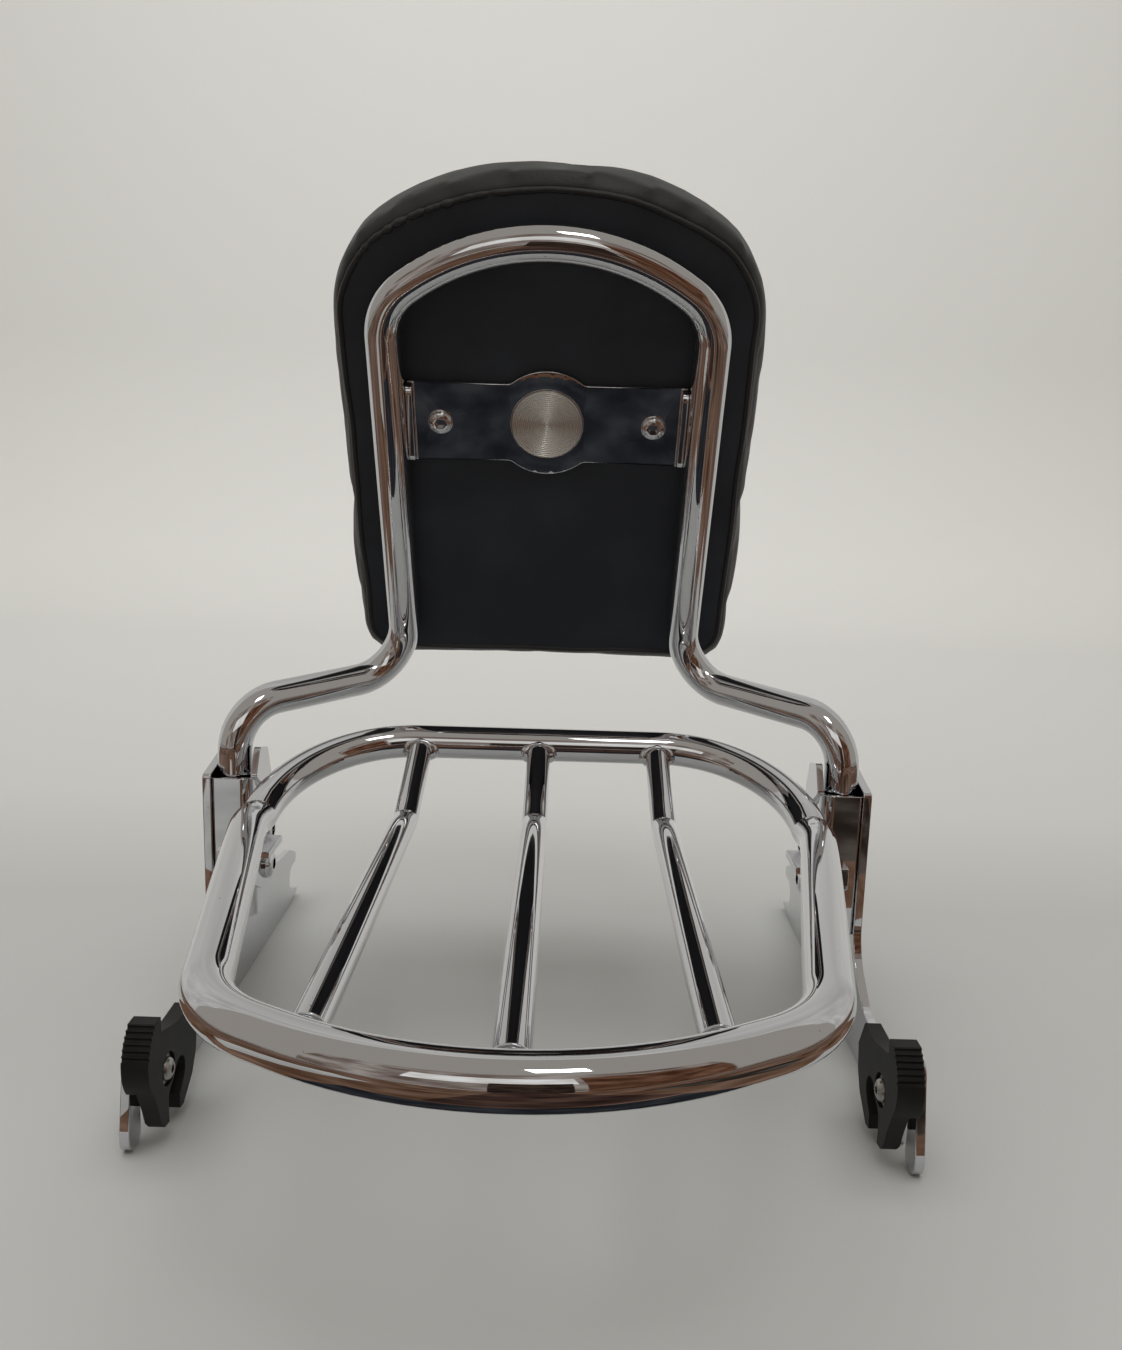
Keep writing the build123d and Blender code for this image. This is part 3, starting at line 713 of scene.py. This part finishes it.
def buildPad():
    low, high = leanBox("pad_cushion")
    soft = blowUp(padBlock(low, high), low, high)
    smooth = soft.modifiers.new("smooth", "SUBSURF")
    smooth.levels = pad["smoothLevels"]
    smooth.render_levels = pad["smoothLevels"]
    mesh = evaluatedMesh(soft)
    bpy.data.objects.remove(soft)
    places = foldLine(low, high)
    foldCover(mesh, low, high, places)
    bm = bmesh.new()
    bm.from_mesh(mesh)
    bm.from_mesh(rollMesh(low, high, places))
    bm.to_mesh(mesh)
    bm.free()
    mesh.transform(leanFrame)
    piece = newPiece("padCover", mesh, "pad_vinyl")
    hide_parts("pad_cushion")


buildPad()
print("pad made")


# CAD nodes that stay: merged, rounded at their edges and given their finish. Those not named here keep sharp
# edges.

edgeRound = {
    "pad_bracket": 0.5 * mm, "bracket_medallion": 0.25 * mm, "pad_back_panel": 0.8 * mm,
    "rack_tab_left": 0.4 * mm, "rack_tab_right": 0.4 * mm,
    "side_plate_left": 0.5 * mm, "side_plate_right": 0.5 * mm,
    "upright_socket_left": 0.35 * mm, "upright_socket_right": 0.35 * mm,
    "latch_lever_left": 0.4 * mm, "latch_lever_right": 0.4 * mm,
}
edgeLook = {
    "weld": 0.004 * mm, "flat": math.radians(0.5), "sharp": math.radians(32), "steps": 3, "flatWeight": 100,
}


def dressNodes():
    slots = {part["node"]: part["material_slot"] for part in frame["record"]["subparts"]}
    for name, node in nodes.items():
        if node.hide_render:
            continue
        setMaterial(node, slots[name])
        smoothFaces(node.data)
        merge = node.modifiers.new("merge", "WELD")
        merge.merge_threshold = edgeLook["weld"]
        if name not in edgeRound:
            split = node.modifiers.new("split", "EDGE_SPLIT")
            split.split_angle = edgeLook["sharp"]
            continue
        if name != "pad_bracket":      # its face with holes shades with a line across when it is one polygon
            flat = node.modifiers.new("flat", "DECIMATE")
            flat.decimate_type = "DISSOLVE"
            flat.angle_limit = edgeLook["flat"]
        edges = node.modifiers.new("edges", "BEVEL")
        edges.width = edgeRound[name]
        edges.segments = edgeLook["steps"]
        edges.limit_method = "ANGLE"
        edges.angle_limit = edgeLook["sharp"]
        edges.use_clamp_overlap = name.startswith("latch")      # the levers' ribs are narrow
        facing = node.modifiers.new("facing", "WEIGHTED_NORMAL")
        facing.weight = edgeLook["flatWeight"]


dressNodes()
print("frame nodes dressed")


# Stage: a pale sweep, soft lamps, and glowing boards that only the chrome sees, as painted reflections

stageLook = {
    "floor": "#abacaa", "behind": "#bdbdbb", "wall": "#dfdfdd", "behindAt": 0.15, "paleFrom": 0.2,
    "paleTo": 1.6, "rough": 0.85, "width": 6.0, "near": -3.0, "far": 1.3, "cove": 0.5, "coveSteps": 24,
    "height": 2.4,
}


def buildStage():
    settings = {"Roughness": stageLook["rough"], "Specular IOR Level": 0.0}
    material, tree, shader, coords = startMaterial("paleSweep", settings)
    away = addNode(tree, "ShaderNodeSeparateXYZ", links={"Vector": coords}).outputs["Y"]
    reach = {"From Min": stageLook["paleFrom"], "From Max": stageLook["paleTo"]}
    pale = addNode(tree, "ShaderNodeMapRange", reach, {"Value": away})
    stops = [(0.0, stageLook["floor"]), (stageLook["behindAt"], stageLook["behind"]),
             (1.0, stageLook["wall"])]
    colour = addNode(tree, "ShaderNodeValToRGB", links={"Fac": pale.outputs["Result"]}, stops=stops)
    tree.links.new(colour.outputs["Color"], shader.inputs["Base Color"])
    bm = bmesh.new()
    half = stageLook["width"] / 2
    edge = bm.edges.new([bm.verts.new((x, stageLook["near"], 0)) for x in (-half, half)])
    flat = pushRing(bm, [edge], Vector((0, stageLook["far"] - stageLook["near"], 0)))
    centre = (0, stageLook["far"], stageLook["cove"])
    curve = bmesh.ops.spin(bm, geom=flat + list(flat[0].verts), cent=centre, axis=(1, 0, 0),
                           angle=math.pi / 2, steps=stageLook["coveSteps"])["geom_last"]
    edges = [g for g in curve if isinstance(g, bmesh.types.BMEdge)]
    pushRing(bm, edges, Vector((0, 0, stageLook["height"])))
    bmesh.ops.recalc_face_normals(bm, faces=bm.faces[:])
    sweep = addObject("sweep", plainMesh(bm, "sweep"))
    smoothFaces(sweep.data)
    sweep.data.materials.append(material)


# Each board is a flat rectangle between two corners, with a mottle of three colours in patches of some mm.
# The boards glow and only glossy rays see them: a painted reflection of a room around the stage.
mottleLook = {"stops": (0.35, 0.5, 0.65), "detail": 4.0}
wood = ("#57453a", "#6d584c", "#866f62")
brown = ("#4d3427", "#69503f", "#83685a")
darkBrown = ("#2c1e18", "#40302a", "#584339")
boards = [
    {"name": "leftBoard", "low": (-1.4, -1.2, 0.0004), "high": (-0.42, 0.25, 0.0004), "tones": wood,
     "patch": 260},
    {"name": "rightBoard", "low": (0.42, -1.2, 0.0004), "high": (1.4, 0.25, 0.0004), "tones": wood,
     "patch": 260},
    {"name": "frontBoard", "low": (-0.42, -1.2, 0.0003), "high": (0.42, -0.168, 0.0003), "tones": brown,
     "patch": 90},
    {"name": "shadeBoard", "low": (-0.06, -1.2, 0.0006), "high": (0.12, -0.24, 0.0006), "tones": darkBrown,
     "patch": 90},
    # a dark sheet of painted shade, which the strap mirrors
    {"name": "edgeShadeBoard", "low": (-0.115, -0.232, 0.0006), "high": (0.115, -0.12, 0.0006),
     "tones": ("#1d1e21", "#292a2e", "#37383a"), "patch": 34},
    {"name": "leftLegBoard", "low": (-0.22, -0.168, 0.0004), "high": (-0.115, -0.115, 0.0004),
     "tones": brown, "patch": 60},
    {"name": "rightLegBoard", "low": (0.115, -0.168, 0.0004), "high": (0.22, -0.115, 0.0004),
     "tones": brown, "patch": 60},
    {"name": "leftSideBoard", "low": (-0.42, -0.168, 0.0004), "high": (-0.22, 0.04, 0.0004),
     "tones": brown, "patch": 90},
    {"name": "rightSideBoard", "low": (0.22, -0.168, 0.0004), "high": (0.42, 0.04, 0.0004),
     "tones": brown, "patch": 90},
    {"name": "paleBoard", "low": (-0.3, -0.42, 0.0006), "high": (-0.2, -0.168, 0.0006),
     "tones": ("#9c9b97", "#b4b3ae", "#c4c3be"), "patch": 120},
    # a dark sheet of painted shade, which the right socket mirrors
    {"name": "rightShadeBoard", "low": (0.19, -0.45, 0.0006), "high": (0.28, -0.2, 0.0006),
     "tones": ("#2a241f", "#3a332c", "#57504a"), "patch": 60},
    {"name": "backBoard", "low": (-2.2, -1.6, 0.0), "high": (2.2, -1.6, 1.9),
     "tones": ("#685950", "#8a7d75", "#ada49d"), "patch": 520},
    {"name": "windowBoard", "low": (-0.8, -1.55, 0.6), "high": (0.4, -1.55, 1.2),
     "tones": ("#dcd8cf", "#efece6", "#ffffff"), "patch": 300},
    {"name": "darkBoard", "low": (-0.08, -0.8, 0.0), "high": (0.17, -0.8, 0.36),
     "tones": ("#221a17", "#30251f", "#43352d"), "patch": 70},
    {"name": "doorBoard", "low": (0.26, -0.95, 0.0), "high": (1.2, -0.95, 0.8),
     "tones": ("#452b1e", "#5f4130", "#7a5946"), "patch": 200},
    {"name": "wallBoard", "low": (-2.2, 0.36, 0.0), "high": (2.2, 0.36, 1.5),
     "tones": ("#b6b4af", "#c4c2bd", "#d2d0cb"), "patch": 400},
]


def buildBoards():
    settings = {"Base Color": (0, 0, 0, 1), "Specular IOR Level": 0.0, "Emission Strength": 1.0}
    for board in boards:
        material, tree, shader, coords = startMaterial(board["name"], settings)
        mottle = addNode(tree, "ShaderNodeTexNoise", {"Scale": perMetre(board["patch"]),
                                                      "Detail": mottleLook["detail"]}, {"Vector": coords})
        stops = list(zip(mottleLook["stops"], board["tones"]))
        colour = addNode(tree, "ShaderNodeValToRGB", links={"Fac": mottle.outputs["Fac"]}, stops=stops)
        tree.links.new(colour.outputs["Color"], shader.inputs["Emission Color"])
        low, high = Vector(board["low"]), Vector(board["high"])
        bm = bmesh.new()
        edge = bm.edges.new([bm.verts.new((x, low.y, low.z)) for x in (low.x, high.x)])
        pushRing(bm, [edge], Vector((0, high.y - low.y, high.z - low.z)))
        piece = addObject(board["name"], plainMesh(bm, board["name"]))
        piece.data.materials.append(material)
        piece.visible_camera = False
        piece.visible_diffuse = False
        piece.visible_shadow = False


lamps = [
    {"name": "ceilingLamp", "at": (-0.15, -0.35, 1.9), "aim": (0.0, 0.05, 0.1), "size": (2.4, 2.0),
     "watts": 27.0, "mirrored": False},
    {"name": "wallLamp", "at": (0.0, 0.3, 2.3), "aim": (0.0, 1.6, 0.5), "size": (3.0, 0.8),
     "watts": 16.0, "mirrored": False},
    {"name": "bulbLamp", "at": (0.2, -0.75, 1.5), "aim": (0.0, 0.0, 0.2), "size": (0.3, 0.3),
     "watts": 1.6, "mirrored": True},
]
worldLook = {"colour": "#a49e96", "backdrop": "#c6c6c4"}


def buildLamps():
    for lamp in lamps:
        light = bpy.data.lights.new(lamp["name"], "AREA")
        light.shape = "RECTANGLE"
        light.size, light.size_y = lamp["size"]
        light.energy = lamp["watts"]
        holder = addObject(lamp["name"], light)
        holder.visible_glossy = lamp["mirrored"]
        way = Vector(lamp["aim"]) - Vector(lamp["at"])
        turned = way.to_track_quat("-Z", "Y").to_matrix().to_4x4()
        holder.matrix_world = Matrix.Translation(lamp["at"]) @ turned
    world = bpy.data.worlds.new("paleRoom")
    world.use_nodes = True
    tree = world.node_tree
    room = tree.nodes["Background"]
    room.inputs["Color"].default_value = linear(worldLook["colour"])
    backdrop = addNode(tree, "ShaderNodeBackground", {"Color": linear(worldLook["backdrop"])})
    seen = addNode(tree, "ShaderNodeLightPath").outputs["Is Camera Ray"]      # the camera sees a paler room
    both = addNode(tree, "ShaderNodeMixShader", links={"Fac": seen, 1: room.outputs["Background"],
                                                       2: backdrop.outputs["Background"]})
    tree.links.new(both.outputs["Shader"], tree.nodes["World Output"].inputs["Surface"])
    bpy.context.scene.world = world


# Angles in degrees, the focal length and the frame's long side in pixels, the sensor in millimetres.
view = {
    "at": Vector((11.0, -447.9, 266.7)) * mm, "down": 10.717, "right": -0.158, "roll": -1.643,
    "focal": 1104.0, "frameLong": 1350.0, "sensor": 36.0, "clipStart": 0.01,
}


def buildCamera():
    down, right, roll = (math.radians(view[k]) for k in ("down", "right", "roll"))
    ahead = Vector((math.sin(right) * math.cos(down), math.cos(right) * math.cos(down), -math.sin(down)))
    level = Vector((math.cos(right), -math.sin(right), 0))
    below = ahead.cross(level)
    across = level * math.cos(roll) + below * math.sin(roll)
    lower = below * math.cos(roll) - level * math.sin(roll)
    camera = bpy.data.cameras.new("photoView")
    camera.sensor_width = view["sensor"]
    camera.lens = view["focal"] / view["frameLong"] * view["sensor"]
    camera.clip_start = view["clipStart"]
    holder = addObject("photoView", camera)
    turned = Matrix((across, -lower, -ahead)).transposed().to_4x4()
    holder.matrix_world = Matrix.Translation(view["at"]) @ turned
    bpy.context.scene.camera = holder


buildStage()
buildBoards()
buildLamps()
buildCamera()
bpy.context.scene.view_settings.view_transform = "Standard"
print("stage, lamps and camera set")
